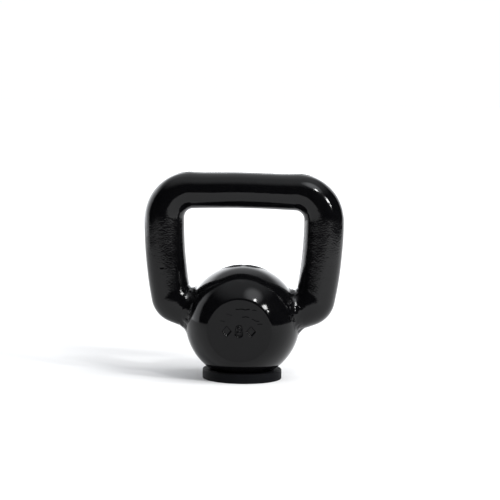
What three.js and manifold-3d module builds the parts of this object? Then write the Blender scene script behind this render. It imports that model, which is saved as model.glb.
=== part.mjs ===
// Cast-iron kettlebell of about 8 kg: a ball with two flat cheeks, a round-bar handle
// welded to its shoulders, and a rubber foot held on by one screw from below.
// Millimetres. +Z is up, +X is to the right and -Y is the front, where the mark is.
// The origin is on the floor, under the centre of the foot.

import * as THREE from 'three';
import { ConvexGeometry } from 'three/addons/geometries/ConvexGeometry.js';
import { LoftGeometry } from 'three/addons/geometries/LoftGeometry.js';
import { mergeVertices } from 'three/addons/utils/BufferGeometryUtils.js';
import Module from 'manifold-3d';

// ---------------------------------------------------------------- driving dimensions

const rad = THREE.MathUtils.degToRad;

const GAP = 0.3; // clearance between pieces that touch

// Ball
const BALL_RADIUS = 56.6;
const CHEEK_CUT = 9.3; // how much each flat cheek takes off the ball
const CHEEK_EDGE_RADIUS = 4; // rounding between a cheek and the ball
const CHEEK_TILT = rad( 3 ); // how far the front cheek looks down, and the back one up
const BASE_FLAT_RADIUS = 26.7; // flat under the ball, which seats in the foot

// Mark cast into the front cheek: a numeral between two lozenges
const MARK_HEIGHT = 13;
const MARK_STROKE = 2.7;
const MARK_DEPTH = 1.1; // how far it is sunk in the cheek
const MARK_PITCH = 11.8; // from the numeral to each lozenge
const MARK_OFFSET_X = -0.5; // both offsets are from the cheek's centre
const MARK_OFFSET_Z = -0.8;
const LOZENGE_WIDTH = 9.6;
const LOZENGE_HEIGHT = 11.6;

// Handle
const GRIP_DIAMETER = 35.2;
const GRIP_STRAIGHT = 30; // from mid-span to where the bar starts to grow stouter
const LEG_DIAMETER = 39.2; // reached at the lower end of each shoulder
const HAND_CLEARANCE = 55.6; // from the top of the ball to the underside of the grip
const GRIP_CROWN = 0.8; // rise of the grip's centre-line at mid-span
const SHOULDER_RADIUS = 27.4; // centre-line radius of the upper corners
const LEG_LEAN = rad( 11 ); // how far each leg has turned inwards at its lower end
const ELBOW_RADIUS = 9; // centre-line radius of the lower corners
const HORN_SLOPE = rad( 20 ); // fall of each horn from the elbow to the ball
const HORN_DROP = 6.5; // how far below the ball's centre the horns aim
const HORN_NECK = 11; // from the ball's surface to the elbow, along the horn
const HORN_ROOT = 12; // how deep the horn is taken into the ball before it is coped
const TUCK = 1; // how far leg and horn run on inside the elbow
const TUCK_TAPER = 0.15; // how much slimmer they are at the end of that

// Weld beads round the horns' roots
const BEAD_RADIUS = 3.5;
const BEAD_LUMP = 0.4; // how much the bead swells and narrows as it goes round
const BEAD_STAND_OFF = 0.4; // bead centre, out from the corner of horn and ball

// Foot
const FOOT_WEB = 1.8; // rubber clamped between the washer and the ball
const FOOT_RIM_RISE = 3.3; // rim of the foot above the seat of the ball's flat
const FOOT_LIP = 6.8; // width of the flat rim round the ball
const FOOT_TOP_EDGE = 1.2;
const FOOT_BOTTOM_EDGE = 0.6;
const TREAD_GROOVES = 2;
const TREAD_GROOVE_WIDTH = 2;
const TREAD_GROOVE_DEPTH = 1.2;

// Screw and washer, in a pocket under the foot
const WASHER_DIAMETER = 18.4;
const WASHER_THICKNESS = 1.2;
const WASHER_MARGIN = 0.8; // between the washer and the pocket's wall
const SCREW_DIAMETER = 6;
const SCREW_LENGTH = 22;
const SCREW_POINT = 1; // chamfer at the screw's tip
const SCREW_HEAD_DIAMETER = 12;
const SCREW_HEAD_HEIGHT = 2.2;
const SCREW_HEAD_CROWN = 0.7; // rounding of the head's rim
const SCREW_HEAD_LIFT = 0.4; // head above the floor
const SCREW_SOCKET_ACROSS_CORNERS = 4.6;
const SCREW_SOCKET_DEPTH = 1.4;
const TAPPED_RUN_OUT = 6; // hole beyond the screw's tip

// Facets
const BALL_SIDES = 56;
const BAR_SIDES = 32;
const BEAD_STEPS = 40;
const BEAD_SIDES = 8;
const FOOT_SIDES = 64;
const WASHER_SIDES = 32;
const SMALL_SIDES = 24;

// ---------------------------------------------------------------- derived places

// Up from the floor: screw head, washer, rubber web, ball.
const SCREW_HEAD_TOP = SCREW_HEAD_LIFT + SCREW_HEAD_HEIGHT;
const WASHER_BOTTOM = SCREW_HEAD_TOP + GAP;
const POCKET_CEILING = WASHER_BOTTOM + WASHER_THICKNESS + GAP;
const SEAT_Z = POCKET_CEILING + FOOT_WEB;
const BASE_Z = SEAT_Z + GAP;
const BALL_CENTRE_Z = BASE_Z + Math.sqrt( BALL_RADIUS ** 2 - BASE_FLAT_RADIUS ** 2 );
const CHEEK_DISTANCE = BALL_RADIUS - CHEEK_CUT;
const SCREW_RADIUS = SCREW_DIAMETER / 2;
const SCREW_TIP = SCREW_HEAD_TOP + SCREW_LENGTH;
const LEG_RADIUS = LEG_DIAMETER / 2;
const GRIP_RADIUS = GRIP_DIAMETER / 2;

// ---------------------------------------------------------------- solids and booleans

const wasm = await Module();
wasm.setup();

// A closed three.js geometry as a solid that can be joined and cut.
function solidOf( geometry ) {

	const bare = new THREE.BufferGeometry().copy( geometry );
	bare.deleteAttribute( 'normal' );
	bare.deleteAttribute( 'uv' );
	const merged = mergeVertices( bare, 1e-4 );
	return new wasm.Manifold( new wasm.Mesh( {
		numProp: 3,
		vertProperties: new Float32Array( merged.attributes.position.array ),
		triVerts: new Uint32Array( merged.index.array ),
	} ) );

}

function geometryOf( solid ) {

	const mesh = solid.getMesh();
	const geometry = new THREE.BufferGeometry();
	const points = new Float32Array( mesh.vertProperties );
	geometry.setAttribute( 'position', new THREE.BufferAttribute( points, 3 ) );
	geometry.setIndex( new THREE.BufferAttribute( new Uint32Array( mesh.triVerts ), 1 ) );
	geometry.computeVertexNormals();
	return geometry;

}

// A named sub-part with its own finish.
function piece( name, solid, color, roughness, metalness ) {

	const material = new THREE.MeshStandardMaterial( { color, roughness, metalness } );
	const mesh = new THREE.Mesh( geometryOf( solid ), material );
	mesh.name = name;
	return mesh;

}

// A profile of [radius, height] points turned about the vertical axis.
function turned( profile, sides ) {

	const points = profile.map( ( [ radius, height ] ) => new THREE.Vector2( radius, height ) );
	return new THREE.LatheGeometry( points, sides ).rotateX( Math.PI / 2 );

}

// Points of an arc in a profile, from one angle to another, both ends included.
function arc( centreX, centreY, radius, from, to, steps ) {

	const points = [];
	for ( let i = 0; i <= steps; i ++ ) {

		const angle = from + ( to - from ) * i / steps;
		points.push( [ centreX + radius * Math.cos( angle ), centreY + radius * Math.sin( angle ) ] );

	}

	return points;

}

// ---------------------------------------------------------------- ball

// The turned body of the ball, about the front-to-back axis, with its flat cheeks. Swell
// makes it larger all over, for cutting what fits against it.
function ballBody( swell = 0 ) {

	const radius = BALL_RADIUS + swell;
	const cheek = CHEEK_DISTANCE + swell;
	const edge = CHEEK_EDGE_RADIUS;
	const edgeAcross = cheek - edge;
	const edgeOut = Math.sqrt( ( radius - edge ) ** 2 - edgeAcross ** 2 );
	const edgeAngle = Math.atan2( edgeAcross, edgeOut );
	const profile = [
		[ 0, - cheek ],
		...arc( edgeOut, - edgeAcross, edge, - Math.PI / 2, - edgeAngle, 3 ),
		...arc( 0, 0, radius, - edgeAngle, edgeAngle, 20 ).slice( 1, - 1 ),
		...arc( edgeOut, edgeAcross, edge, edgeAngle, Math.PI / 2, 3 ),
		[ 0, cheek ],
	];
	const points = profile.map( ( [ out, across ] ) => new THREE.Vector2( out, across ) );
	const geometry = new THREE.LatheGeometry( points, BALL_SIDES );
	return solidOf( onBall( geometry ) );

}

// Moves what was made round the origin to the ball's centre, tilted as its cheeks are.
function onBall( geometry ) {

	return geometry.rotateX( CHEEK_TILT ).translate( 0, 0, BALL_CENTRE_Z );

}

// What a flat outline in x and z takes out of the front cheek. It starts as far outside the
// cheek as it goes in.
function sunk( shape ) {

	const geometry = new THREE.ExtrudeGeometry( shape, {
		depth: 2 * MARK_DEPTH,
		bevelEnabled: false,
		curveSegments: 12,
	} );
	geometry.rotateX( Math.PI / 2 );
	geometry.translate( MARK_OFFSET_X, MARK_DEPTH - CHEEK_DISTANCE, MARK_OFFSET_Z );
	return solidOf( onBall( geometry ) );

}

function ring( centreZ, radius ) {

	const shape = new THREE.Shape();
	shape.absarc( 0, centreZ, radius, 0, 2 * Math.PI );
	const hole = new THREE.Path();
	hole.absarc( 0, centreZ, radius - MARK_STROKE, 0, 2 * Math.PI, true );
	shape.holes.push( hole );
	return shape;

}

function lozenge( centreX ) {

	return new THREE.Shape( [
		new THREE.Vector2( centreX + LOZENGE_WIDTH / 2, 0 ),
		new THREE.Vector2( centreX, LOZENGE_HEIGHT / 2 ),
		new THREE.Vector2( centreX - LOZENGE_WIDTH / 2, 0 ),
		new THREE.Vector2( centreX, - LOZENGE_HEIGHT / 2 ),
	] );

}

// The numeral is two rings that share one stroke where they meet.
function mark() {

	const bothDiameters = MARK_HEIGHT + MARK_STROKE;
	const lowerRadius = bothDiameters * 0.27;
	const upperRadius = bothDiameters / 2 - lowerRadius;
	const lower = sunk( ring( lowerRadius - MARK_HEIGHT / 2, lowerRadius ) );
	const upper = sunk( ring( MARK_HEIGHT / 2 - upperRadius, upperRadius ) );
	return lower.add( upper ).add( sunk( lozenge( MARK_PITCH ) ) ).add( sunk( lozenge( - MARK_PITCH ) ) );

}

function ball() {

	const below = new THREE.BoxGeometry( 3 * BALL_RADIUS, 3 * BALL_RADIUS, 2 * BALL_RADIUS );
	below.translate( 0, 0, BASE_Z - BALL_RADIUS );
	const holeTop = SCREW_TIP + TAPPED_RUN_OUT;
	const tapped = new THREE.CylinderGeometry( SCREW_RADIUS + GAP, SCREW_RADIUS + GAP, holeTop, SMALL_SIDES );
	tapped.rotateX( Math.PI / 2 );
	tapped.translate( 0, 0, holeTop / 2 );
	return ballBody().subtract( mark() ).subtract( solidOf( below ) ).subtract( solidOf( tapped ) );

}

// ---------------------------------------------------------------- handle

// Along the handle, heading is 0 where the bar runs to the right, a quarter turn where it
// runs down, and more where it turns back in to the ball. This is the direction away from
// the inside of the bend, in x and z.
function outward( heading ) {

	return new THREE.Vector2( Math.sin( heading ), Math.cos( heading ) );

}

// The way the bar runs at a heading, in x and z.
function onward( heading ) {

	return new THREE.Vector2( Math.cos( heading ), - Math.sin( heading ) );

}

// Centre-line of the right-hand half, worked back from the horn to the grip.
function handleLayout() {

	const legEndHeading = Math.PI / 2 + LEG_LEAN;
	const hornHeading = Math.PI - HORN_SLOPE;
	const hornOut = new THREE.Vector2( Math.cos( HORN_SLOPE ), Math.sin( HORN_SLOPE ) );
	const aim = new THREE.Vector2( 0, BALL_CENTRE_Z ).addScaledVector( outward( hornHeading ), HORN_DROP );
	const surface = Math.sqrt( BALL_RADIUS ** 2 - HORN_DROP ** 2 );
	const elbowEnd = aim.clone().addScaledVector( hornOut, surface + HORN_NECK );
	const hornEnd = aim.clone().addScaledVector( hornOut, surface - HORN_ROOT );
	const elbowCentre = elbowEnd.clone().addScaledVector( outward( hornHeading ), - ELBOW_RADIUS );
	const legEnd = elbowCentre.clone().addScaledVector( outward( legEndHeading ), ELBOW_RADIUS );
	const gripZ = BALL_CENTRE_Z + BALL_RADIUS + HAND_CLEARANCE + GRIP_RADIUS;
	const legTopZ = gripZ - GRIP_CROWN - SHOULDER_RADIUS;
	const legRadius = ( legTopZ - legEnd.y ) / Math.sin( LEG_LEAN );
	const legTopX = legEnd.x + legRadius * ( 1 - Math.cos( LEG_LEAN ) );
	return {
		aim, hornOut, surface, hornHeading, hornEnd, elbowCentre, elbowEnd, legEnd, legEndHeading,
		legCentre: new THREE.Vector2( legTopX - legRadius, legTopZ ),
		legRadius,
		shoulderCentre: new THREE.Vector2( legTopX - SHOULDER_RADIUS, legTopZ ),
		gripZ,
	};

}

const LAYOUT = handleLayout();

// The bar grows from the grip's radius to the leg's, by distance from mid-span.
function barRadius( along ) {

	const shoulderEnd = LAYOUT.shoulderCentre.x + SHOULDER_RADIUS * Math.PI / 2;
	const share = THREE.MathUtils.smoothstep( along, GRIP_STRAIGHT, shoulderEnd );
	return THREE.MathUtils.lerp( GRIP_RADIUS, LEG_RADIUS, share );

}

// Stations from mid-grip to the elbow: centre, heading and bar radius.
function rightStations() {

	const stations = [];
	const halfGrip = LAYOUT.shoulderCentre.x;
	const gripSteps = 6;
	for ( let i = 0; i < gripSteps; i ++ ) {

		const share = i / gripSteps;
		const fall = GRIP_CROWN * Math.sin( share * Math.PI / 2 ) ** 2;
		const slope = GRIP_CROWN * Math.PI / ( 2 * halfGrip ) * Math.sin( share * Math.PI );
		const centre = new THREE.Vector2( share * halfGrip, LAYOUT.gripZ - fall );
		stations.push( { centre, heading: Math.atan( slope ), radius: barRadius( share * halfGrip ) } );

	}

	const shoulderSteps = 10;
	for ( let i = 0; i <= shoulderSteps; i ++ ) {

		const heading = Math.PI / 2 * i / shoulderSteps;
		const centre = LAYOUT.shoulderCentre.clone().addScaledVector( outward( heading ), SHOULDER_RADIUS );
		stations.push( { centre, heading, radius: barRadius( halfGrip + SHOULDER_RADIUS * heading ) } );

	}

	const legSteps = 6;
	for ( let i = 1; i <= legSteps; i ++ ) {

		const heading = Math.PI / 2 + LEG_LEAN * i / legSteps;
		const centre = LAYOUT.legCentre.clone().addScaledVector( outward( heading ), LAYOUT.legRadius );
		stations.push( { centre, heading, radius: LEG_RADIUS } );

	}

	const heading = LAYOUT.legEndHeading;
	const tucked = LAYOUT.legEnd.clone().addScaledVector( onward( heading ), TUCK );
	stations.push( { centre: tucked, heading, radius: LEG_RADIUS - TUCK_TAPER } );
	return stations;

}

// A ring of points round the bar. Side is 1 on the right and -1 on the left.
function barRing( centre, heading, radius, side = 1 ) {

	const out = outward( heading );
	const points = [];
	for ( let i = 0; i < BAR_SIDES; i ++ ) {

		const angle = 2 * Math.PI * i / BAR_SIDES;
		const reach = radius * Math.cos( angle );
		points.push( new THREE.Vector3(
			side * ( centre.x + reach * out.x ),
			- radius * Math.sin( angle ),
			centre.y + reach * out.y ) );

	}

	return points;

}

// The lower corner is tighter than the bar is thick, so it is the hull of its rings, all
// but their inner side, where the leg and the horn run into each other and fill it.
function elbow( radius, side ) {

	const { elbowCentre, legEndHeading, hornHeading } = LAYOUT;
	const steps = 7;
	const points = [];
	for ( let i = 0; i <= steps; i ++ ) {

		const heading = legEndHeading + ( hornHeading - legEndHeading ) * i / steps;
		const out = outward( heading );
		const centre = elbowCentre.clone().addScaledVector( out, ELBOW_RADIUS );
		for ( const point of barRing( centre, heading, radius, side ) ) {

			const reach = ( side * point.x - elbowCentre.x ) * out.x + ( point.z - elbowCentre.y ) * out.y;
			if ( reach > - ELBOW_RADIUS / 3 ) points.push( point );

		}

	}

	return solidOf( new ConvexGeometry( points ) );

}

// The whole bent bar, before its ends are coped to the ball. Swell makes it fatter.
function bar( swell = 0 ) {

	const right = rightStations();
	const rings = [
		...right.slice( 1 ).reverse().map( ( s ) => barRing( s.centre, s.heading, s.radius + swell, - 1 ) ),
		...right.map( ( s ) => barRing( s.centre, s.heading, s.radius + swell ) ),
	];
	let solid = solidOf( new LoftGeometry( rings, { capStart: true, capEnd: true } ) );
	for ( const side of [ - 1, 1 ] ) {

		const { elbowEnd, hornEnd, hornHeading } = LAYOUT;
		const radius = LEG_RADIUS + swell;
		const tucked = elbowEnd.clone().addScaledVector( onward( hornHeading ), - TUCK );
		const hornRings = [
			barRing( tucked, hornHeading, radius - TUCK_TAPER, side ),
			barRing( elbowEnd, hornHeading, radius, side ),
			barRing( hornEnd, hornHeading, radius, side ),
		];
		if ( side < 0 ) hornRings.reverse();
		const horn = solidOf( new LoftGeometry( hornRings, { capStart: true, capEnd: true } ) );
		solid = solid.add( elbow( radius, side ) ).add( horn );

	}

	return solid;

}

// ---------------------------------------------------------------- weld beads

// A lumpy bead laid in the corner between one horn and the ball, trimmed to both.
function weldBead( side, ballCutter, barCutter ) {

	const { aim, hornOut, hornHeading } = LAYOUT;
	const up = outward( hornHeading ).negate();
	const ballCentre = new THREE.Vector3( 0, 0, BALL_CENTRE_Z );
	const rings = [];
	for ( let i = 0; i <= BEAD_STEPS; i ++ ) {

		const angle = 2 * Math.PI * ( i % BEAD_STEPS ) / BEAD_STEPS;
		const reachUp = LEG_RADIUS * Math.cos( angle );
		const across = LEG_RADIUS * Math.sin( angle );
		const level = aim.clone().addScaledVector( up, reachUp );
		const offAxis = level.distanceTo( new THREE.Vector2( 0, BALL_CENTRE_Z ) );
		const along = Math.sqrt( BALL_RADIUS ** 2 - offAxis ** 2 - across ** 2 );
		const flat = level.addScaledVector( hornOut, along );
		const corner = new THREE.Vector3( side * flat.x, across, flat.y );
		const alongHorn = new THREE.Vector3( side * hornOut.x, 0, hornOut.y );
		const offHorn = new THREE.Vector3( side * up.x, 0, up.y ).multiplyScalar( Math.cos( angle ) );
		offHorn.y = Math.sin( angle );
		const offBall = corner.clone().sub( ballCentre ).normalize();
		const centre = corner.clone().addScaledVector( offHorn.clone().add( offBall ), BEAD_STAND_OFF );
		const radius = BEAD_RADIUS + BEAD_LUMP * Math.sin( 7 * angle + side ) * Math.cos( 4 * angle );
		const ringPoints = [];
		for ( let j = 0; j < BEAD_SIDES; j ++ ) {

			const turn = 2 * Math.PI * j / BEAD_SIDES;
			ringPoints.push( centre.clone()
				.addScaledVector( offHorn, radius * Math.cos( turn ) )
				.addScaledVector( alongHorn, radius * Math.sin( turn ) ) );

		}

		rings.push( ringPoints );

	}

	if ( side < 0 ) rings.reverse();
	return solidOf( new LoftGeometry( rings ) ).subtract( ballCutter ).subtract( barCutter );

}

// ---------------------------------------------------------------- foot and its fixing

function rubberFoot() {

	const seatRadius = BALL_RADIUS + GAP;
	const dishAngle = ( z ) => Math.asin( ( z - BALL_CENTRE_Z ) / seatRadius );
	const top = SEAT_Z + FOOT_RIM_RISE;
	const footRadius = seatRadius * Math.cos( dishAngle( top ) ) + FOOT_LIP;
	const pocketRadius = WASHER_DIAMETER / 2 + WASHER_MARGIN;
	const treadPitch = ( footRadius - pocketRadius ) / ( TREAD_GROOVES + 1 );
	const profile = [ [ pocketRadius, 0 ] ];
	for ( let i = 1; i <= TREAD_GROOVES; i ++ ) {

		const middle = pocketRadius + i * treadPitch;
		const inner = middle - TREAD_GROOVE_WIDTH / 2;
		const outer = middle + TREAD_GROOVE_WIDTH / 2;
		profile.push( [ inner, 0 ], [ inner, TREAD_GROOVE_DEPTH ], [ outer, TREAD_GROOVE_DEPTH ], [ outer, 0 ] );

	}

	profile.push(
		[ footRadius - FOOT_BOTTOM_EDGE, 0 ],
		[ footRadius, FOOT_BOTTOM_EDGE ],
		...arc( footRadius - FOOT_TOP_EDGE, top - FOOT_TOP_EDGE, FOOT_TOP_EDGE, 0, Math.PI / 2, 3 ),
		...arc( 0, BALL_CENTRE_Z, seatRadius, dishAngle( top ), dishAngle( SEAT_Z ), 4 ),
		[ SCREW_RADIUS + GAP, SEAT_Z ],
		[ SCREW_RADIUS + GAP, POCKET_CEILING ],
		[ pocketRadius, POCKET_CEILING ],
		[ pocketRadius, 0 ],
	);
	return solidOf( turned( profile, FOOT_SIDES ) );

}

function footWasher() {

	const inner = SCREW_RADIUS + GAP;
	const outer = WASHER_DIAMETER / 2;
	const top = WASHER_BOTTOM + WASHER_THICKNESS;
	const profile = [
		[ inner, WASHER_BOTTOM ],
		[ outer, WASHER_BOTTOM ],
		[ outer, top ],
		[ inner, top ],
		[ inner, WASHER_BOTTOM ],
	];
	return solidOf( turned( profile, WASHER_SIDES ) );

}

function footScrew() {

	const crown = SCREW_HEAD_CROWN;
	const headRadius = SCREW_HEAD_DIAMETER / 2;
	const profile = [
		[ 0, SCREW_HEAD_LIFT ],
		...arc( headRadius - crown, SCREW_HEAD_LIFT + crown, crown, - Math.PI / 2, 0, 3 ),
		[ headRadius, SCREW_HEAD_TOP ],
		[ SCREW_RADIUS, SCREW_HEAD_TOP ],
		[ SCREW_RADIUS, SCREW_TIP - SCREW_POINT ],
		[ SCREW_RADIUS - SCREW_POINT, SCREW_TIP ],
		[ 0, SCREW_TIP ],
	];
	const socketRadius = SCREW_SOCKET_ACROSS_CORNERS / 2;
	const socket = new THREE.CylinderGeometry( socketRadius, socketRadius, 2 * SCREW_SOCKET_DEPTH, 6 );
	socket.rotateX( Math.PI / 2 );
	socket.translate( 0, 0, SCREW_HEAD_LIFT );
	return solidOf( turned( profile, SMALL_SIDES ) ).subtract( solidOf( socket ) );

}

// ---------------------------------------------------------------- assembly

const ballCutter = ballBody( GAP );
const barCutter = bar( GAP );
const handle = bar().subtract( ballCutter );
const black = 0x16181b;

const kettlebell = new THREE.Group();
kettlebell.add( piece( 'ball', ball(), black, 0.22, 0 ) );
kettlebell.add( piece( 'handle', handle, black, 0.22, 0 ) );
kettlebell.add( piece( 'weld_bead_left', weldBead( - 1, ballCutter, barCutter ), black, 0.3, 0 ) );
kettlebell.add( piece( 'weld_bead_right', weldBead( 1, ballCutter, barCutter ), black, 0.3, 0 ) );
kettlebell.add( piece( 'rubber_foot', rubberFoot(), 0x15161a, 0.75, 0 ) );
kettlebell.add( piece( 'foot_washer', footWasher(), 0x9a9c9e, 0.35, 1 ) );
kettlebell.add( piece( 'foot_screw', footScrew(), 0x8c8f92, 0.3, 1 ) );

export default kettlebell;
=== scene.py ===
"""Looks for a cast-iron kettlebell: black gloss enamel on a sand-cast ball, a welded
round-bar handle and a matte rubber foot, on a pale studio floor.

Shapes are worked out in millimetres and handed to Blender in metres.
"""

import itertools
import math

import bpy
import numpy as np
from mathutils import Matrix, Vector, noise


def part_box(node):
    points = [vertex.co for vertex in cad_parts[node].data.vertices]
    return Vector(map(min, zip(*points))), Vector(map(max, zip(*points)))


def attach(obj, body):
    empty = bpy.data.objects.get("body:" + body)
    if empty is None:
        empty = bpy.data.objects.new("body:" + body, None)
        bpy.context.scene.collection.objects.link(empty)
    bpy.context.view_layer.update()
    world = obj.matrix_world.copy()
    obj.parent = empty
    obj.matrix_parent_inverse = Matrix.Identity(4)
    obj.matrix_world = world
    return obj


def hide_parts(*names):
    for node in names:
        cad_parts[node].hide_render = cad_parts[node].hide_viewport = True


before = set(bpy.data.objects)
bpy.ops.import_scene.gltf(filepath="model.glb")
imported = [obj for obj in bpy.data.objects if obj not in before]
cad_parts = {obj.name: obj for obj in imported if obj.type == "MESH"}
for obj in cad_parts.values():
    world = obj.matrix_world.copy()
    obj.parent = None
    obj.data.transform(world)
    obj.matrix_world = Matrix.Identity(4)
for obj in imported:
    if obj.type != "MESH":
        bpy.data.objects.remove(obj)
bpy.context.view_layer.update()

MM = 0.001


# ---------------------------------------------------------------- sizes, in millimetres

def node_box(node):
    low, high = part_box(node)
    return np.array(low) / MM, np.array(high) / MM


ball_low, ball_high = node_box("ball")
handle_high = node_box("handle")[1]
foot_high = node_box("rubber_foot")[1]
washer_low, washer_high = node_box("foot_washer")
screw_low, screw_high = node_box("foot_screw")

GAP = 0.3  # clearance between pieces that touch

BALL_RADIUS = ball_high[0]
BALL_CENTRE_Z = ball_high[2] - BALL_RADIUS
BASE_Z = ball_low[2]
CHEEK_CUT = 9.3  # how much each flat cheek takes off the ball
CHEEK_DISTANCE = BALL_RADIUS - CHEEK_CUT
CHEEK_EDGE_RADIUS = 4.0
CHEEK_TILT = math.radians(3)  # how far the front cheek looks down, and the back one up

MARK_DEPTH = 1.1
MARK_HEIGHT = 13.0
MARK_STROKE = 2.7
MARK_PITCH = 11.8  # from the numeral to each lozenge
MARK_OFFSET_X = -0.5  # both offsets are from the cheek's centre
MARK_OFFSET_Z = -0.8
MARK_REACH = 21.0  # the cheek's mesh is finest out to here
LOZENGE_WIDTH = 9.6
LOZENGE_HEIGHT = 11.6

# Creases on the front cheek, from its centre: middle in x, level in z, half length, fall
# and depth.
CHEEK_CREASES = [
    (3.0, 21.5, 6.5, 0.02, 0.42),
    (14.5, 20.7, 1.8, 0.1, 0.18),
    (6.0, 13.9, 3.0, 0.05, 0.26),
    (15.5, 10.7, 3.2, 0.3, 0.2),
    (-10.0, 15.9, 2.6, 0.1, 0.1),
    (20.0, 7.1, 2.0, 0.1, 0.18),
    (-16.5, 9.3, 2.2, 0.05, 0.1),
]

LEG_RADIUS = handle_high[1]
GRIP_RADIUS = 17.6
GRIP_STRAIGHT = 30.0  # from mid-span to where the bar starts to grow stouter
GRIP_CROWN = 0.8  # rise of the grip's centre-line at mid-span
GRIP_Z = handle_high[2] - GRIP_RADIUS
SHOULDER_RADIUS = 27.4
LEG_LEAN = math.radians(11)  # how far each leg has turned inwards at its lower end
ELBOW_RADIUS = 9.0
ELBOW_CREASE = 4.5  # softness of the crease inside each elbow
ELBOW_PIVOT = 15.5  # the elbow's rings fan round a point this far inside the bend's centre
ELBOW_FAN = 24.5  # and start this far out from that point, inside the bar
HORN_SLOPE = math.radians(20)  # fall of each horn from the elbow to the ball
HORN_DROP = 6.5  # how far below the ball's centre the horns aim
HORN_NECK = 11.0  # from the ball's surface to the elbow, along the horn
HORN_ROOT = 5.0  # how deep the horn ends inside the ball
BLEMISH = np.array([-79.0, -LEG_RADIUS, 110.5])  # a blow hole on the front of the left leg

BEAD_LEG = 6.5  # reach of the weld metal up the horn and over the ball
BEAD_FILL = 0.6
BEAD_SINK = 0.25

FOOT_RADIUS = foot_high[0]
FOOT_TOP = foot_high[2]
SEAT_Z = BASE_Z - GAP
FOOT_TOP_EDGE = 1.2
FOOT_BOTTOM_EDGE = 0.6
POCKET_RADIUS = 10.0
POCKET_CEILING = washer_high[2] + GAP
TREAD_GROOVES = 2
TREAD_GROOVE_WIDTH = 2.0
TREAD_GROOVE_DEPTH = 1.2

SCREW_RADIUS = 3.0
SCREW_HEAD_RADIUS = screw_high[0]
SCREW_HEAD_HEIGHT = 2.2
SCREW_HEAD_CROWN = 0.7
SCREW_SOCKET_RADIUS = 2.3
SCREW_SOCKET_DEPTH = 1.4
THREAD_PITCH = 1.0
THREAD_DEPTH = 0.35


# ---------------------------------------------------------------- mesh helpers

def skin(name, rings, start="pole", end="pole"):
    """A closed mesh through rings of points. Each end closes to a pole, or the last ring
    joins the first when both ends are "loop"."""
    rings = np.asarray(rings, float)
    count, around = rings.shape[:2]
    verts = rings.reshape(-1, 3)
    faces = []
    last = count if start == "loop" else count - 1
    for i in range(last):
        a = i * around
        b = (i + 1) % count * around
        for j in range(around):
            k = (j + 1) % around
            faces.append((a + j, a + k, b + k, b + j))
    if start == "pole":
        poles = np.array([rings[0].mean(0), rings[-1].mean(0)])
        verts = np.vstack([verts, poles])
        first_pole = count * around
        final = (count - 1) * around
        for j in range(around):
            k = (j + 1) % around
            faces.append((first_pole, k, j))
            faces.append((first_pole + 1, final + j, final + k))
    return solid(name, verts, faces)


def solid(name, verts, faces):
    """A smooth-shaded mesh object from points in millimetres, faces turned outwards."""
    a, b, c = (np.array([verts[f[i]] for f in faces]) for i in (0, 1, 2))
    d = np.array([verts[f[-1]] for f in faces])
    volume = (a * (np.cross(b, c) + np.cross(c, d))).sum()
    if volume < 0:
        faces = [tuple(reversed(f)) for f in faces]
    mesh = bpy.data.meshes.new(name)
    mesh.from_pydata([tuple(v) for v in np.asarray(verts) * MM], [], faces)
    mesh.shade_smooth()
    obj = bpy.data.objects.new(name, mesh)
    bpy.context.scene.collection.objects.link(obj)
    return obj


def arc(centre_x, centre_y, radius, start, stop, steps):
    angles = np.linspace(start, stop, steps + 1)
    return [(centre_x + radius * math.cos(t), centre_y + radius * math.sin(t)) for t in angles]


def line(start, stop, spacing):
    """Points from start to stop, both included, no further apart than spacing."""
    steps = max(1, math.ceil(math.dist(start, stop) / spacing))
    start = np.array(start)
    return [tuple(start + (stop - start) * i / steps) for i in range(steps + 1)]


def turned(profile, sides):
    """Rings of a [radius, height] profile about the vertical axis."""
    turns = np.linspace(0, 2 * math.pi, sides, endpoint=False)
    return [[(r * math.cos(t), r * math.sin(t), z) for t in turns] for r, z in profile]


def lumps(points, size, seed):
    """Smooth noise from about -1 to 1 whose lumps are size apart."""
    start = Vector((31.7, -12.3, 5.9)) * (seed + 1)
    return np.array([noise.noise(Vector(p) / size + start) for p in points])


def smoothstep(value, low, high):
    t = np.clip((value - low) / (high - low), 0, 1)
    return t * t * (3 - 2 * t)


# ---------------------------------------------------------------- ball

def mark_distance(x, z):
    """Distance to the sunk mark's outline on the cheek, negative inside it: a numeral of
    two rings that share a stroke, between two lozenges."""
    both = MARK_HEIGHT + MARK_STROKE
    lower = both * 0.27
    upper = both / 2 - lower
    middle = MARK_STROKE / 2
    ring_low = abs(np.hypot(x, z - (lower - MARK_HEIGHT / 2)) - (lower - middle)) - middle
    ring_high = abs(np.hypot(x, z - (MARK_HEIGHT / 2 - upper)) - (upper - middle)) - middle
    half = np.array([LOZENGE_WIDTH, LOZENGE_HEIGHT]) / 2
    slant = math.hypot(*half)
    off_middle = abs(abs(x) - MARK_PITCH) / half[0] + abs(z) / half[1]
    lozenge = (off_middle - 1) * half[0] * half[1] / slant
    return np.minimum(np.minimum(ring_low, ring_high), lozenge)


def cold_shuts(x, z):
    """Depth of the fine creases where the iron froze in folds on the front cheek."""
    depth = 0 * x
    for middle, level, half, fall, deep in CHEEK_CREASES:
        along = np.clip(x - middle, -half, half)
        sag = level - fall * along + 0.35 * np.sin(along * 0.9 + level)
        off = np.hypot(x - middle - along, z - sag)
        depth = np.maximum(depth, deep * (1 - smoothstep(off, 0, 0.75)))
    return depth


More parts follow.
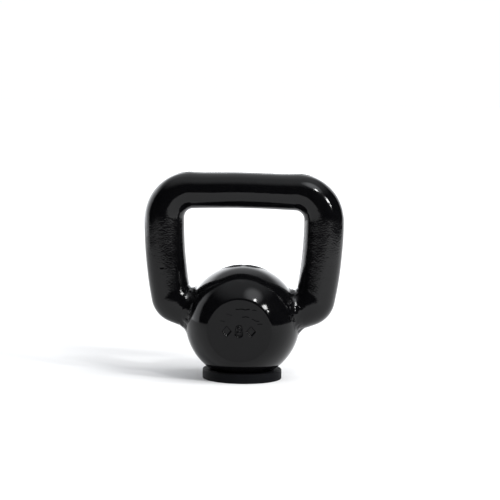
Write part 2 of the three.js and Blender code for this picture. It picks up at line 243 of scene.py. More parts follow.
def ball():
    """The sand-cast ball: smooth where it was fettled, wrinkled and pitted on its cheeks."""
    edge_across = CHEEK_DISTANCE - CHEEK_EDGE_RADIUS
    edge_out = math.sqrt((BALL_RADIUS - CHEEK_EDGE_RADIUS) ** 2 - edge_across ** 2)
    edge_angle = math.atan2(edge_across, edge_out)
    turn = math.pi / 2
    profile = line((0.3, -CHEEK_DISTANCE), (MARK_REACH, -CHEEK_DISTANCE), 0.28)
    profile += line((MARK_REACH, -CHEEK_DISTANCE), (edge_out, -CHEEK_DISTANCE), 0.5)[1:]
    profile += arc(edge_out, -edge_across, CHEEK_EDGE_RADIUS, -turn, -edge_angle, 10)[1:]
    profile += arc(0, 0, BALL_RADIUS, -edge_angle, edge_angle, 80)[1:]
    profile += arc(edge_out, edge_across, CHEEK_EDGE_RADIUS, edge_angle, turn, 8)[1:]
    profile += line((edge_out, CHEEK_DISTANCE), (1.2, CHEEK_DISTANCE), 1.1)[1:]
    turns = np.linspace(0, 2 * math.pi, 380, endpoint=False)
    out = np.array([p[0] for p in profile])[:, None]
    across = np.array([p[1] for p in profile])[:, None]
    points = np.stack([out * np.cos(turns), across + 0 * turns, out * np.sin(turns)], -1)
    flat = points.reshape(-1, 3)
    cheek = smoothstep(abs(flat[:, 1]), edge_across, CHEEK_DISTANCE - 0.4)
    normal = flat / np.linalg.norm(flat, axis=1, keepdims=True)
    normal = normal * (1 - cheek[:, None]) + np.sign(flat) * (0, 1, 0) * cheek[:, None]
    wrinkled = flat * (0.45, 1, 1)  # the sand's wrinkles run across the cheek
    height = 0.05 * lumps(flat, 26, 0) + 0.008 * lumps(flat, 7, 1)
    rough = 0.03 * lumps(wrinkled, 3.4, 2) + 0.018 * lumps(flat, 1.9, 3)
    pits = -0.08 * smoothstep(lumps(wrinkled, 5.4, 4), 0.45, 0.75)
    height += cheek * (rough + pits + 0.05 * lumps(flat, 12, 5))
    front = (flat[:, 1] < 0) * cheek
    height -= front * cold_shuts(flat[:, 0], flat[:, 2])
    edge = mark_distance(flat[:, 0] - MARK_OFFSET_X, flat[:, 2] - MARK_OFFSET_Z)
    edge += 0.08 * lumps(flat, 2.2, 6)
    height -= front * MARK_DEPTH * (1 - smoothstep(edge, -1.15, 0.25))
    flat = (flat + normal * height[:, None]) @ np.array(Matrix.Rotation(-CHEEK_TILT, 3, "X"))
    flat[:, 2] += BALL_CENTRE_Z
    obj = skin("cast_ball", flat.reshape(points.shape))
    cut(obj, base_cutter())
    return obj


def base_cutter():
    """What is machined off under the ball: all below its seat, and the screw's hole."""
    reach = BALL_RADIUS
    screw_tip = screw_high[2] + 6
    hole = SCREW_RADIUS + GAP
    profile = [(0.01, -reach), (reach, -reach), (reach, BASE_Z), (hole, BASE_Z)]
    profile += [(hole, screw_tip), (0.01, screw_tip)]
    return skin("base_cutter", turned(profile, 48))


def cut(obj, cutter):
    """Takes the cutter's shape out of a mesh and throws the cutter away."""
    modifier = obj.modifiers.new("cut", "BOOLEAN")
    modifier.operation = "DIFFERENCE"
    modifier.solver = "EXACT"
    modifier.object = cutter
    graph = bpy.context.evaluated_depsgraph_get()
    mesh = bpy.data.meshes.new_from_object(obj.evaluated_get(graph))
    obj.modifiers.clear()
    obj.data = mesh
    bpy.data.objects.remove(cutter)


# ---------------------------------------------------------------- handle

def outward(heading):
    """Away from the inside of the bend, in x and z. Heading is 0 where the bar runs right
    along the grip and a quarter turn where it runs down a leg."""
    return np.array([math.sin(heading), math.cos(heading)])


def onward(heading):
    return np.array([math.cos(heading), -math.sin(heading)])


HORN_HEADING = math.pi - HORN_SLOPE
LEG_END_HEADING = math.pi / 2 + LEG_LEAN
AIM = np.array([0, BALL_CENTRE_Z]) + HORN_DROP * outward(HORN_HEADING)
HORN_SURFACE = math.sqrt(BALL_RADIUS ** 2 - HORN_DROP ** 2)
ELBOW_END = AIM - (HORN_SURFACE + HORN_NECK) * onward(HORN_HEADING)
HORN_END = AIM - (HORN_SURFACE - HORN_ROOT) * onward(HORN_HEADING)
ELBOW_CENTRE = ELBOW_END - ELBOW_RADIUS * outward(HORN_HEADING)
LEG_END = ELBOW_CENTRE + ELBOW_RADIUS * outward(LEG_END_HEADING)
LEG_TOP_Z = GRIP_Z - GRIP_CROWN - SHOULDER_RADIUS
LEG_BEND = (LEG_TOP_Z - LEG_END[1]) / math.sin(LEG_LEAN)
LEG_TOP_X = LEG_END[0] + LEG_BEND * (1 - math.cos(LEG_LEAN))
LEG_CENTRE = np.array([LEG_TOP_X - LEG_BEND, LEG_TOP_Z])
SHOULDER_CENTRE = np.array([LEG_TOP_X - SHOULDER_RADIUS, LEG_TOP_Z])
HALF_GRIP = SHOULDER_CENTRE[0]
SHOULDER_END = HALF_GRIP + SHOULDER_RADIUS * math.pi / 2


def bar_radius(along):
    return GRIP_RADIUS + (LEG_RADIUS - GRIP_RADIUS) * smoothstep(along, GRIP_STRAIGHT, SHOULDER_END)


def leg_point(heading):
    return LEG_CENTRE + LEG_BEND * outward(heading)


def segment_distance(points, start, stop):
    """Distance from points to a straight stretch of the bar's centre-line."""
    span = np.array([stop[0] - start[0], 0, stop[1] - start[1]])
    from_start = points - np.array([start[0], 0, start[1]])
    share = np.clip(from_start @ span / (span @ span), 0, 1)
    return np.linalg.norm(from_start - share[:, None] * span, axis=1)


def elbow_distance(points):
    """Distance to the bar's surface round the right elbow, with a soft inner crease."""
    leg = [leg_point(h) for h in np.linspace(LEG_END_HEADING - 0.09, LEG_END_HEADING, 7)]
    headings = np.linspace(LEG_END_HEADING, HORN_HEADING, 16)
    bend = [ELBOW_CENTRE + ELBOW_RADIUS * outward(h) for h in headings]
    to_leg = np.min([segment_distance(points, a, b) for a, b in zip(leg, leg[1:])], axis=0)
    to_bend = np.min([segment_distance(points, a, b) for a, b in zip(bend, bend[1:])], axis=0)
    to_horn = segment_distance(points, ELBOW_END, HORN_END)
    mix = np.clip(0.5 + 0.5 * (to_horn - to_leg) / ELBOW_CREASE, 0, 1)
    soft = to_horn * (1 - mix) + to_leg * mix - ELBOW_CREASE * mix * (1 - mix)
    return np.minimum(np.minimum(soft, to_bend), np.minimum(to_leg, to_horn)) - LEG_RADIUS


def elbow_rings(turns, spacing):
    """Rings in planes that fan round a point just outside the elbow's crease."""
    middle = (LEG_END_HEADING + HORN_HEADING) / 2
    pivot = ELBOW_CENTRE - ELBOW_PIVOT * outward(middle)
    count = math.ceil((HORN_HEADING - LEG_END_HEADING) * 30 / spacing)
    rings = []
    for heading in np.linspace(LEG_END_HEADING, HORN_HEADING, count):
        centre = pivot + ELBOW_FAN * outward(heading)
        out = outward(heading)
        rays = np.stack([np.cos(turns) * out[0], np.sin(turns), np.cos(turns) * out[1]], -1)
        start = np.array([centre[0], 0, centre[1]])
        near = np.zeros(len(turns))
        far = np.full(len(turns), 1.9 * LEG_RADIUS)
        for _ in range(24):
            reach = (near + far) / 2
            outside = elbow_distance(start + rays * reach[:, None]) > 0
            far = np.where(outside, reach, far)
            near = np.where(outside, near, reach)
        rings.append(start + rays * near[:, None])
    return rings


def ring(centre, heading, radius, turns):
    out = outward(heading)
    return np.stack([
        centre[0] + radius * np.cos(turns) * out[0],
        radius * np.sin(turns),
        centre[1] + radius * np.cos(turns) * out[1],
    ], -1)


def right_half(turns, spacing):
    """Rings from mid-grip to the horn's root inside the ball."""
    rings = []
    for x in np.linspace(0, HALF_GRIP, math.ceil(HALF_GRIP / spacing), endpoint=False):
        share = x / HALF_GRIP
        z = GRIP_Z - GRIP_CROWN * math.sin(share * math.pi / 2) ** 2
        slope = GRIP_CROWN * math.pi / (2 * HALF_GRIP) * math.sin(share * math.pi)
        rings.append(ring((x, z), math.atan(slope), bar_radius(x), turns))
    bend = SHOULDER_RADIUS * math.pi / 2
    for heading in np.linspace(0, math.pi / 2, math.ceil(bend * 1.3 / spacing), endpoint=False):
        centre = SHOULDER_CENTRE + SHOULDER_RADIUS * outward(heading)
        rings.append(ring(centre, heading, bar_radius(HALF_GRIP + SHOULDER_RADIUS * heading), turns))
    fan = elbow_rings(turns, spacing)
    fan_start = fan[0].mean(0)
    stop = math.pi / 2 + math.asin((LEG_TOP_Z - fan_start[2] - 0.5) / LEG_BEND)
    leg_length = LEG_BEND * (stop - math.pi / 2)
    for heading in np.linspace(math.pi / 2, stop, math.ceil(leg_length / spacing), endpoint=False):
        rings.append(ring(leg_point(heading), heading, LEG_RADIUS, turns))
    rings += fan
    horn_start = fan[-1].mean(0)[[0, 2]]
    along = (horn_start - AIM) @ -onward(HORN_HEADING)
    for reach in np.arange(along - spacing, HORN_SURFACE - HORN_ROOT, -spacing):
        rings.append(ring(AIM - reach * onward(HORN_HEADING), HORN_HEADING, LEG_RADIUS, turns))
    return rings


def handle():
    """One cast bar: smooth and slightly wavy at the grip, coarse and lumpy on its legs."""
    turns = np.linspace(0, 2 * math.pi, 144, endpoint=False)
    right = np.array(right_half(turns, 0.74))
    left = right[:0:-1] * (-1, 1, 1)
    rings = np.concatenate([left, right])
    centres = rings.mean(1)
    steps = np.linalg.norm(np.diff(centres, axis=0), axis=1)
    along = np.concatenate([[0], np.cumsum(steps)])
    along = along - along[-1] / 2
    flat = rings.reshape(-1, 3)
    centre = np.repeat(centres, len(turns), axis=0)
    normal = flat - centre
    distance = np.linalg.norm(normal, axis=1, keepdims=True)
    normal = normal / distance
    run = np.repeat(along, len(turns))
    leg = smoothstep(abs(run), HALF_GRIP * 0.9, SHOULDER_END + 12)
    # As if the bar were straight, so that the lumps run the same way all along it.
    across = np.tile(np.cos(turns), len(rings))
    unrolled = np.stack([run, normal[:, 1] * LEG_RADIUS, across * LEG_RADIUS], -1)
    ragged = unrolled * (0.85, 1, 1)
    height = 0.12 * lumps(unrolled, 22, 10) + 0.03 * lumps(unrolled, 8, 11)
    coarse = 0.01 * lumps(ragged, 2.1, 12) + 0.009 * lumps(ragged, 1.5, 13)
    height += leg * (coarse + 0.035 * lumps(unrolled, 7, 14))
    blemish = np.linalg.norm((flat - BLEMISH) / (3.4, 3.4, 1.4), axis=1)
    height -= 0.35 * (1 - smoothstep(blemish + 0.3 * lumps(flat, 2, 16), 0.2, 1))
    height += (1 - leg) * 0.012 * lumps(unrolled, 3.6, 15)
    flat = flat + normal * height[:, None]
    return skin("bent_bar_handle", flat.reshape(rings.shape))


# ---------------------------------------------------------------- weld beads

def weld_corner(angle):
    """The corner where the right horn's surface runs into the ball, at an angle round the
    horn, with the directions square to both surfaces."""
    up = -outward(HORN_HEADING)
    level = AIM + up * LEG_RADIUS * math.cos(angle)
    across = LEG_RADIUS * math.sin(angle)
    off_axis = math.dist(level, (0, BALL_CENTRE_Z))
    along = math.sqrt(BALL_RADIUS ** 2 - off_axis ** 2 - across ** 2)
    spot = level - onward(HORN_HEADING) * along
    corner = np.array([spot[0], across, spot[1]])
    off_horn = np.array([up[0] * math.cos(angle), math.sin(angle), up[1] * math.cos(angle)])
    off_ball = (corner - (0, 0, BALL_CENTRE_Z)) / BALL_RADIUS
    return corner, off_horn, off_ball


def weld_bead(name, side, seed):
    """Weld metal ground back to a lumpy hollow fillet round the horn's root, its toes and
    back sunk in the ball and the bar."""
    along_horn = np.array([-onward(HORN_HEADING)[0], 0, -onward(HORN_HEADING)[1]])
    steps = np.linspace(0, 1, 22)
    rings = []
    fronts = []
    for angle in np.linspace(0, 2 * math.pi, 300, endpoint=False):
        corner, off_horn, off_ball = weld_corner(angle)
        down_ball = off_horn - off_ball * (off_horn @ off_ball)
        down_ball /= np.linalg.norm(down_ball)
        leg = BEAD_LEG + 1.2 * noise.noise(Vector(corner) / 11 + Vector((seed, 0, 0)))
        top = corner + along_horn * leg - off_horn * BEAD_SINK
        foot = corner + down_ball * leg - off_ball * (BEAD_SINK + leg * leg / (2 * BALL_RADIUS))
        hollow = corner + BEAD_FILL * (off_horn + off_ball)
        face = [top * (1 - t) ** 2 + hollow * 2 * t * (1 - t) + foot * t * t for t in steps]
        back = [foot - off_ball * 1.5, corner - off_horn - off_ball, top - off_horn * 1.5]
        rings.append(face + back)
        fronts.append([off_horn * (1 - t) + off_ball * t for t in steps] + [off_ball * 0] * 3)
    rings = np.array(rings)
    flat = rings.reshape(-1, 3)
    swell = 0.75 * lumps(flat, 7.5, seed) + 0.45 * lumps(flat, 3.8, seed + 1)
    swell += 0.06 * lumps(flat, 1.8, seed + 2)
    flat = (flat + np.array(fronts).reshape(-1, 3) * swell[:, None]) * (side, 1, 1)
    return skin(name, flat.reshape(rings.shape), "loop", "loop")


# ---------------------------------------------------------------- foot and its fixing

def rubber_foot():
    """A moulded rubber disc, dished for the ball, with a trodden ring of grooves below."""
    seat = BALL_RADIUS + GAP
    turn = math.pi / 2
    top_angle = math.asin((FOOT_TOP - BALL_CENTRE_Z) / seat)
    seat_angle = math.asin((SEAT_Z - BALL_CENTRE_Z) / seat)
    dish_top = seat * math.cos(top_angle)
    hole = SCREW_RADIUS + GAP
    pitch = (FOOT_RADIUS - POCKET_RADIUS) / (TREAD_GROOVES + 1)
    corners = [(hole, SEAT_Z), (hole, POCKET_CEILING), (POCKET_RADIUS, POCKET_CEILING)]
    corners += [(POCKET_RADIUS, 0.3), (POCKET_RADIUS + 0.3, 0)]
    for i in range(1, TREAD_GROOVES + 1):
        inner = POCKET_RADIUS + i * pitch - TREAD_GROOVE_WIDTH / 2
        outer = inner + TREAD_GROOVE_WIDTH
        corners += [(inner - 0.2, 0), (inner, 0.2), (inner + 0.3, TREAD_GROOVE_DEPTH)]
        corners += [(outer - 0.3, TREAD_GROOVE_DEPTH), (outer, 0.2), (outer + 0.2, 0)]
    profile = [corners[0]]
    for a, b in zip(corners, corners[1:]):
        profile += line(a, b, 1.2)[1:]
    bottom = FOOT_BOTTOM_EDGE
    profile += line(profile[-1], (FOOT_RADIUS - bottom, 0), 1.2)[1:]
    profile += arc(FOOT_RADIUS - bottom, bottom, bottom, -turn, 0, 4)[1:]
    profile += line((FOOT_RADIUS, bottom), (FOOT_RADIUS, FOOT_TOP - FOOT_TOP_EDGE), 0.7)[1:]
    edge = FOOT_TOP_EDGE
    profile += arc(FOOT_RADIUS - edge, FOOT_TOP - edge, edge, 0, turn, 6)[1:]
    profile += line((FOOT_RADIUS - edge, FOOT_TOP), (dish_top + 0.5, FOOT_TOP), 0.7)[1:]
    profile += arc(0, BALL_CENTRE_Z, seat, top_angle, seat_angle, 10)
    profile += line((seat * math.cos(seat_angle), SEAT_Z), (hole, SEAT_Z), 2.0)[1:-1]
    rings = np.array(turned(profile, 256))
    flat = rings.reshape(-1, 3)
    out = np.hypot(flat[:, 0], flat[:, 1])
    outer = smoothstep(out, dish_top, dish_top + 2) * smoothstep(flat[:, 2], 0.1, 1.5)
    normal = flat * (1, 1, 0) / out[:, None]
    height = outer * (0.06 * lumps(flat, 14, 20) + 0.03 * lumps(flat, 3, 21))
    flat = flat + normal * height[:, None]
    return skin("moulded_foot", flat.reshape(rings.shape), "loop", "loop")


def washer():
    """A stamped washer: rolled over above, with a faint burr below."""
    outer = washer_high[0]
    inner = SCREW_RADIUS + GAP
    low = washer_low[2]
    high = washer_high[2]
    turn = math.pi / 2
    profile = line((inner, high - 0.2), (inner, low + 0.1), 0.5)
    profile += line((inner + 0.1, low), (outer - 0.1, low), 1.0)
    profile += line((outer, low + 0.1), (outer, high - 0.35), 0.4)
    profile += arc(outer - 0.35, high - 0.35, 0.35, 0, turn, 4)[1:]
    profile += line((outer - 0.35, high), (inner + 0.2, high), 1.0)[1:]
    return skin("plain_washer", turned(profile, 96), "loop", "loop")


def hexagon(turns, radius):
    """Distance out to a hexagon of that corner radius."""
    sixth = math.pi / 3
    return radius * math.cos(sixth / 2) / np.cos((turns + sixth / 2) % sixth - sixth / 2)


def screw():
    """A low-head screw with a hexagon socket and a rolled thread."""
    low = screw_low[2]
    head_top = low + SCREW_HEAD_HEIGHT
    tip = screw_high[2]
    sides = 96
    turns = np.linspace(0, 2 * math.pi, sides, endpoint=False)

    def level(radius, z):
        return np.stack([radius * np.cos(turns), radius * np.sin(turns), z + 0 * turns], -1)

    socket = hexagon(turns, SCREW_SOCKET_RADIUS)
    rings = [level(socket * share, low + SCREW_SOCKET_DEPTH) for share in (0.3, 0.7, 1)]
    rings += [level(socket, low + 0.25), level(socket + 0.12, low)]
    rings += [level(radius, low) for radius in (3.4, 4.4)]
    crown = SCREW_HEAD_CROWN
    rim = arc(SCREW_HEAD_RADIUS - crown, low + crown, crown, -math.pi / 2, 0, 6)
    rings += [level(radius, z) for radius, z in rim]
    rings += [level(SCREW_HEAD_RADIUS, head_top - 0.1), level(SCREW_HEAD_RADIUS - 0.1, head_top)]
    rings += [level(SCREW_RADIUS + 0.2, head_top), level(SCREW_RADIUS, head_top + 0.3)]
    thread_start = head_top + 2
    for z in np.arange(thread_start, tip - 0.9, THREAD_PITCH / 8):
        phase = (z / THREAD_PITCH - turns / (2 * math.pi)) % 1
        fade = min(1, (z - thread_start) / THREAD_PITCH, (tip - 0.9 - z) / THREAD_PITCH)
        rings.append(level(SCREW_RADIUS - THREAD_DEPTH * fade * abs(2 * phase - 1), z))
    rings += [level(SCREW_RADIUS - 0.3, tip - 0.6), level(SCREW_RADIUS - 1, tip)]
    return skin("low_head_screw", rings)


# ---------------------------------------------------------------- materials

def colour(code):
    """An sRGB hex code as the linear colour that shaders take."""
    parts = [int(code[i:i + 2], 16) / 255 for i in (1, 3, 5)]
    return [p / 12.92 if p <= 0.04045 else ((p + 0.055) / 1.055) ** 2.4 for p in parts] + [1]


def add(tree, kind, inputs=None, **settings):
    """Adds a node with its settings. Each input is a value, or a socket to link from."""
    node = tree.nodes.new(kind)
    for name, value in settings.items():
        setattr(node, name, value)
    for name, value in (inputs or {}).items():
        if isinstance(value, bpy.types.NodeSocket):
            tree.links.new(value, node.inputs[name])
        else:
            node.inputs[name].default_value = value
    return node


def new_material(name):
    material = bpy.data.materials.new(name)
    material.use_nodes = True
    tree = material.node_tree
    tree.nodes.clear()
    output = add(tree, "ShaderNodeOutputMaterial")
    place = add(tree, "ShaderNodeTexCoord").outputs["Object"]
    return material, tree, output, place


SAND_MM = 1.6  # moulding sand is finer than this, and is drawn coarse enough to show
SAND_DEPTH = 0.12
COARSER_OVER = 22  # the height over which a casting turns coarse


def enamel(name, ior, grain_mm, grain_depth, peel_mm, peel_depth, rough_below=None):
    """Gloss black stoving enamel sprayed on sand-cast iron. The eye sees sharp, slightly
    wavering reflections over deep black, with the sand's grain showing where it is coarse.
    Below the height rough_below the casting was left coarser."""
    material, tree, output, place = new_material(name)
    grain = add(tree, "ShaderNodeTexNoise", {
        "Vector": place, "Scale": 1 / (grain_mm * MM), "Detail": 3.0})
    peel = add(tree, "ShaderNodeTexNoise", {
        "Vector": place, "Scale": 1 / (peel_mm * MM), "Detail": 1.0})
    fine = add(tree, "ShaderNodeBump", {
        "Height": grain.outputs["Fac"], "Strength": 1.0, "Distance": grain_depth * MM})
    wavy = add(tree, "ShaderNodeBump", {
        "Height": peel.outputs["Fac"], "Strength": 1.0, "Distance": peel_depth * MM,
        "Normal": fine.outputs["Normal"]})
    if rough_below:
        axes = add(tree, "ShaderNodeSeparateXYZ", {"Vector": place})
        coarse = add(tree, "ShaderNodeMapRange", {
            "Value": axes.outputs["Z"], "From Min": rough_below * MM,
            "From Max": (rough_below - COARSER_OVER) * MM})
        sand = add(tree, "ShaderNodeTexNoise", {
            "Vector": place, "Scale": 1 / (SAND_MM * MM), "Detail": 2.0})
        wavy = add(tree, "ShaderNodeBump", {
            "Height": sand.outputs["Fac"], "Strength": coarse.outputs["Result"],
            "Distance": SAND_DEPTH * MM, "Normal": wavy.outputs["Normal"]})
    dust = add(tree, "ShaderNodeTexNoise", {"Vector": place, "Scale": 1 / (9 * MM), "Detail": 4.0})
    tint = add(tree, "ShaderNodeValToRGB", {"Fac": dust.outputs["Fac"]})
    tint.color_ramp.elements[0].color = colour("#040405")
    tint.color_ramp.elements[1].color = colour("#09090a")
    gloss = add(tree, "ShaderNodeMapRange", {
        "Value": dust.outputs["Fac"], "From Min": 0.3, "From Max": 0.7, "To Min": 0.07, "To Max": 0.13})
    shader = add(tree, "ShaderNodeBsdfPrincipled", {
        "Base Color": tint.outputs["Color"], "Roughness": gloss.outputs["Result"],
        "Normal": wavy.outputs["Normal"], "IOR": ior})
    tree.links.new(shader.outputs["BSDF"], output.inputs["Surface"])
    return material


def moulded_rubber():
    """Black rubber from a blasted mould. The eye sees an even, dry blue-black with a fine
    grain, paler where it has been scuffed and dusted by the floor."""
    material, tree, output, place = new_material("moulded_black_rubber")
    grain = add(tree, "ShaderNodeTexNoise", {"Vector": place, "Scale": 1 / (0.7 * MM), "Detail": 4.0})
    bump = add(tree, "ShaderNodeBump", {
        "Height": grain.outputs["Fac"], "Strength": 0.6, "Distance": 0.06 * MM})
    scuff = add(tree, "ShaderNodeTexNoise", {"Vector": place, "Scale": 1 / (6 * MM), "Detail": 5.0})
    tint = add(tree, "ShaderNodeValToRGB", {"Fac": scuff.outputs["Fac"]})
    tint.color_ramp.elements[0].position = 0.35
    tint.color_ramp.elements[0].color = colour("#040507")
    tint.color_ramp.elements[1].position = 0.75
    tint.color_ramp.elements[1].color = colour("#0a0b0f")
    rough = add(tree, "ShaderNodeMapRange", {
        "Value": scuff.outputs["Fac"], "From Min": 0.3, "From Max": 0.7, "To Min": 0.62, "To Max": 0.78})
    shader = add(tree, "ShaderNodeBsdfPrincipled", {
        "Base Color": tint.outputs["Color"], "Roughness": rough.outputs["Result"],
        "Normal": bump.outputs["Normal"], "IOR": 1.2})
    tree.links.new(shader.outputs["BSDF"], output.inputs["Surface"])
    return material


def zinc_plate(name, base):
    """Bright zinc plating on pressed steel. The eye sees a soft silver with a faint haze
    and fine scratches from tumbling."""
    material, tree, output, place = new_material(name)
    haze = add(tree, "ShaderNodeTexNoise", {"Vector": place, "Scale": 1 / (1.5 * MM), "Detail": 5.0})
    scratch = add(tree, "ShaderNodeTexWave", {
        "Vector": place, "Scale": 1 / (0.5 * MM), "Distortion": 6.0, "Detail": 3.0})
    bump = add(tree, "ShaderNodeBump", {
        "Height": scratch.outputs["Fac"], "Strength": 0.15, "Distance": 0.01 * MM})
    tint = add(tree, "ShaderNodeValToRGB", {"Fac": haze.outputs["Fac"]})
    tint.color_ramp.elements[0].color = colour(base)
    tint.color_ramp.elements[1].color = colour("#d4d6d6")
    rough = add(tree, "ShaderNodeMapRange", {
        "Value": haze.outputs["Fac"], "To Min": 0.22, "To Max": 0.42})
    shader = add(tree, "ShaderNodeBsdfPrincipled", {
        "Base Color": tint.outputs["Color"], "Roughness": rough.outputs["Result"],
        "Normal": bump.outputs["Normal"], "Metallic": 1.0})
    tree.links.new(shader.outputs["BSDF"], output.inputs["Surface"])
    return material


def studio_floor():
    """Matt white board. Further back it glows with painted light that rises with distance from
    the bell, so that it meets the white room with no horizon."""
    material, tree, output, place = new_material("matt_white_floor")
    axes = add(tree, "ShaderNodeSeparateXYZ", {"Vector": place})
    # Painted light: the floor glows, from nothing near the bell to its brightest far behind it.
    painted_glow = add(tree, "ShaderNodeMapRange", {
        "Value": axes.outputs["Y"], "From Min": 0.15, "From Max": 1.6, "To Min": 0.0, "To Max": 0.35})
    shader = add(tree, "ShaderNodeBsdfPrincipled", {
        "Base Color": colour("#fafafa"), "Roughness": 0.9, "Specular IOR Level": 0.0,
        "Emission Color": colour("#ffffff"), "Emission Strength": painted_glow.outputs["Result"]})
    tree.links.new(shader.outputs["BSDF"], output.inputs["Surface"])
    return material


# ---------------------------------------------------------------- pieces

def place_piece(obj, node, material):
    obj.data.materials.clear()
    obj.data.materials.append(material)
    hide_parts(node)
    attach(obj, "root")


ball_enamel = enamel(
    "gloss_enamel_on_cast_ball", ior=1.265,
    grain_mm=1.1, grain_depth=0.012, peel_mm=5.0, peel_depth=0.03)
bar_enamel = enamel(
    "gloss_enamel_on_cast_bar", ior=1.33,
    grain_mm=1.0, grain_depth=0.02, peel_mm=5.0, peel_depth=0.05, rough_below=GRIP_Z - 10)
weld_enamel = enamel(
    "gloss_enamel_on_weld", ior=1.33,
    grain_mm=0.9, grain_depth=0.06, peel_mm=3.0, peel_depth=0.08)

washer_plate = zinc_plate("zinc_plated_washer", "#a9acad")
screw_plate = zinc_plate("zinc_plated_screw", "#9c9fa1")

place_piece(ball(), "ball", ball_enamel)
place_piece(handle(), "handle", bar_enamel)
place_piece(weld_bead("left_weld", -1, 30), "weld_bead_left", weld_enamel)
place_piece(weld_bead("right_weld", 1, 40), "weld_bead_right", weld_enamel)
place_piece(rubber_foot(), "rubber_foot", moulded_rubber())
place_piece(washer(), "foot_washer", washer_plate)
place_piece(screw(), "foot_screw", screw_plate)


# ---------------------------------------------------------------- studio, in metres

AZIMUTH = math.radians(3.75)
DISTANCE = 2.75  # from the camera to the bell, along the floor
CAMERA_HEIGHT = 0.455
ROLL = math.radians(0.8)
VIEW_WIDTH = 0.4885  # of the world, at the bell
BALL_IN_VIEW = (-0.0146, -0.1424)  # of the frame's width, right and up from its centre

FLOOR_SIDE = 0.95
FLOOR_FRONT = 1.05
FLOOR_BACK = 4.0
ROOM_FILL = 0.63  # strength of the room's even light on what is matt
SWEEP_TO_LEFT = 0.287  # how far the sweep behind wraps round to the left

# Two dark things stand in front of the sweep, and draw the ball's upper edge.
NEIGHBOUR_ASIDE = math.radians(4.5)
NEIGHBOUR_HEIGHTS = (12, 18, 24)  # degrees, of the parts that make up each
NEIGHBOUR_SIZE = math.radians(4)

# Each strobe's way from the bell as right, up and towards the camera, its size and power.
STROBES = {
    "high_strobe": ((0.388, 0.652, 0.651), 0.17, 7.5),
    "side_strobe": ((0.69, 0.42, 0.59), 0.26, 13.0),
    "low_strobe": ((0.774, 0.286, 0.565), 0.12, 3.0),
}
STROBE_DISTANCE = 2.0
GLOW_WAY = (0.324, 0.793, 0.517)  # the hot middle of the softbox, given in the same way

ball_centre = Vector((0, 0, BALL_CENTRE_Z * MM))


def studio_camera():
    """A long lens, a little above and to the right of the front cheek."""
    data = bpy.data.cameras.new("studio_camera")
    data.lens = data.sensor_width * DISTANCE / VIEW_WIDTH
    camera = bpy.data.objects.new("studio_camera", data)
    bpy.context.scene.collection.objects.link(camera)
    bpy.context.scene.camera = camera
    position = Vector((DISTANCE * math.sin(AZIMUTH), -DISTANCE * math.cos(AZIMUTH), CAMERA_HEIGHT))
    to_ball = (ball_centre - position).normalized()
    turned_to_ball = to_ball.to_track_quat("-Z", "Y").to_matrix()
    # Swing from looking at the ball to where the ball sits in its place in the frame.
    angles = [math.atan(share * VIEW_WIDTH / DISTANCE) for share in BALL_IN_VIEW]
    rolled = Matrix.Rotation(ROLL, 3, "Z")
    swing = Matrix.Rotation(angles[0], 3, "Y") @ Matrix.Rotation(-angles[1], 3, "X")
    camera.matrix_world = Matrix.Translation(position) @ (turned_to_ball @ rolled @ swing).to_4x4()
    return camera


def aimed_light(name, direction, size, power, distance, shown_in_gloss=True):
    """A square area light that shines on the bell from a direction."""
    data = bpy.data.lights.new(name, "AREA")
    data.size = size
    data.energy = power
    light = bpy.data.objects.new(name, data)
    bpy.context.scene.collection.objects.link(light)
    direction = Vector(direction).normalized()
    light.location = Vector((0, 0, 0.1)) + direction * distance
    light.rotation_euler = direction.to_track_quat("Z", "Y").to_euler()
    light.visible_glossy = shown_in_gloss
    light.visible_camera = False
    return light


def room_sun(direction, strength, spread):
    """A far bank of lamps high on the right, for the even floor and the soft shadow. It is
    kept out of the gloss, where the softbox is already."""
    data = bpy.data.lights.new("far_bank", "SUN")
    data.energy = strength
    data.angle = math.radians(spread)
    light = bpy.data.objects.new("far_bank", data)
    bpy.context.scene.collection.objects.link(light)
    light.rotation_euler = Vector(direction).to_track_quat("Z", "Y").to_euler()
    light.visible_glossy = False


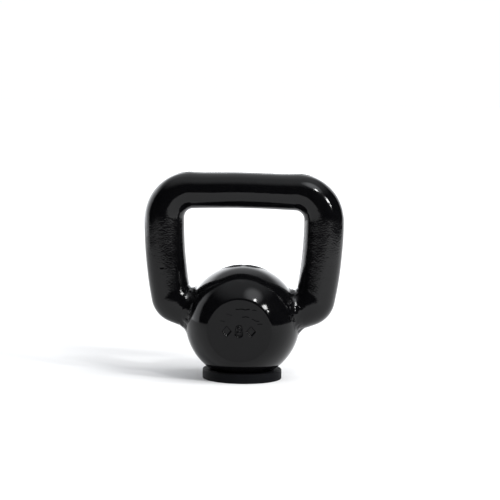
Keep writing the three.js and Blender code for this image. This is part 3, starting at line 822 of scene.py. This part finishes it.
def studio_world(toward_camera, glow_way):
    """A white room to the eye. In the bell's gloss it is a wide softbox overhead with a hot
    middle, a white sweep behind and to the left with two dark things before it, and dark
    flags all round the front."""
    world = bpy.data.worlds.new("studio")
    world.use_nodes = True
    bpy.context.scene.world = world
    tree = world.node_tree
    tree.nodes.clear()
    way = add(tree, "ShaderNodeTexCoord").outputs["Generated"]
    axes = add(tree, "ShaderNodeSeparateXYZ", {"Vector": way})
    level = add(tree, "ShaderNodeCombineXYZ", {"X": axes.outputs["X"], "Y": axes.outputs["Y"]})
    heading = add(tree, "ShaderNodeVectorMath", {0: level.outputs[0]}, operation="NORMALIZE")
    ahead = Vector((toward_camera.x, toward_camera.y, 0)).normalized()
    left = Vector((ahead.y, -ahead.x, 0))
    behind = add(tree, "ShaderNodeVectorMath", {
        0: heading.outputs[0], 1: SWEEP_TO_LEFT * left - ahead}, operation="DOT_PRODUCT").outputs["Value"]
    soft = {"interpolation_type": "SMOOTHSTEP"}
    overhead = add(tree, "ShaderNodeMapRange", {
        "Value": axes.outputs["Z"], "From Min": 0.6, "From Max": 0.96,
        "To Min": 0.0, "To Max": 1.05}, **soft)
    sweep_edge = add(tree, "ShaderNodeMapRange", {
        "Value": behind, "From Min": 0.39, "From Max": 0.47, "To Min": 0.0, "To Max": 1.9}, **soft)
    sweep_middle = add(tree, "ShaderNodeMapRange", {
        "Value": behind, "From Min": 0.5, "From Max": 0.95, "To Min": 0.0, "To Max": 2.2}, **soft)
    sweep_top = add(tree, "ShaderNodeMapRange", {
        "Value": axes.outputs["Z"], "From Min": 0.44, "From Max": 0.68,
        "To Min": 1.0, "To Max": 0.3}, **soft)
    sweep = add(tree, "ShaderNodeMath", {
        0: sweep_edge.outputs[0], 1: sweep_middle.outputs[0]}, operation="ADD")
    sweep = add(tree, "ShaderNodeMath", {
        0: sweep.outputs[0], 1: sweep_top.outputs[0]}, operation="MULTIPLY")
    for side, above in itertools.product((-1, 1), NEIGHBOUR_HEIGHTS):
        aside = side * math.tan(NEIGHBOUR_ASIDE) * left - ahead
        place = (aside.normalized() + Vector((0, 0, math.tan(math.radians(above))))).normalized()
        toward = add(tree, "ShaderNodeVectorMath", {0: way, 1: place}, operation="DOT_PRODUCT")
        dark = add(tree, "ShaderNodeMapRange", {
            "Value": toward.outputs["Value"], "From Min": math.cos(NEIGHBOUR_SIZE * 1.4),
            "From Max": math.cos(NEIGHBOUR_SIZE * 0.8), "To Min": 1.0, "To Max": 0.06}, **soft)
        sweep = add(tree, "ShaderNodeMath", {
            0: sweep.outputs[0], 1: dark.outputs[0]}, operation="MULTIPLY")
    near_glow = add(tree, "ShaderNodeVectorMath", {0: way, 1: glow_way}, operation="DOT_PRODUCT")
    glow = add(tree, "ShaderNodeMapRange", {
        "Value": near_glow.outputs["Value"], "From Min": 0.94, "From Max": 1.0,
        "To Min": 0.0, "To Max": 4.0}, **soft)
    room = add(tree, "ShaderNodeMath", {0: overhead.outputs[0], 1: sweep.outputs[0]}, operation="MAXIMUM")
    room = add(tree, "ShaderNodeMath", {0: room.outputs[0], 1: glow.outputs[0]}, operation="ADD")
    ray = add(tree, "ShaderNodeLightPath")
    to_diffuse = add(tree, "ShaderNodeMix", {
        "Factor": ray.outputs["Is Diffuse Ray"], "A": room.outputs[0], "B": ROOM_FILL}, data_type="FLOAT")
    strength = add(tree, "ShaderNodeMix", {
        "Factor": ray.outputs["Is Camera Ray"], "A": to_diffuse.outputs[0], "B": 1.05}, data_type="FLOAT")
    background = add(tree, "ShaderNodeBackground", {
        "Color": colour("#fafcff"), "Strength": strength.outputs[0]})
    output = add(tree, "ShaderNodeOutputWorld")
    tree.links.new(background.outputs[0], output.inputs["Surface"])


def floor():
    """White board, which stops short of the camera so that the gloss turns dark there."""
    corners = [(-FLOOR_SIDE, -FLOOR_FRONT, 0), (FLOOR_SIDE, -FLOOR_FRONT, 0)]
    corners += [(FLOOR_SIDE, FLOOR_BACK, 0), (-FLOOR_SIDE, FLOOR_BACK, 0)]
    mesh = bpy.data.meshes.new("studio_floor")
    mesh.from_pydata(corners, [], [(0, 1, 2, 3)])
    mesh.materials.append(studio_floor())
    obj = bpy.data.objects.new("studio_floor", mesh)
    bpy.context.scene.collection.objects.link(obj)


camera = studio_camera()
view = camera.matrix_world.to_3x3()
for name, (way, size, power) in STROBES.items():
    aimed_light(name, view @ Vector(way), size, power, STROBE_DISTANCE)
aimed_light("right_bank", (0.9, -0.1, 0.6), size=0.8, power=5, distance=1.8, shown_in_gloss=False)
room_sun((0.62, -0.12, 1), strength=0.88, spread=34)
studio_world(view.col[2], view @ Vector(GLOW_WAY).normalized())
floor()
bpy.context.scene.view_settings.view_transform = "Standard"
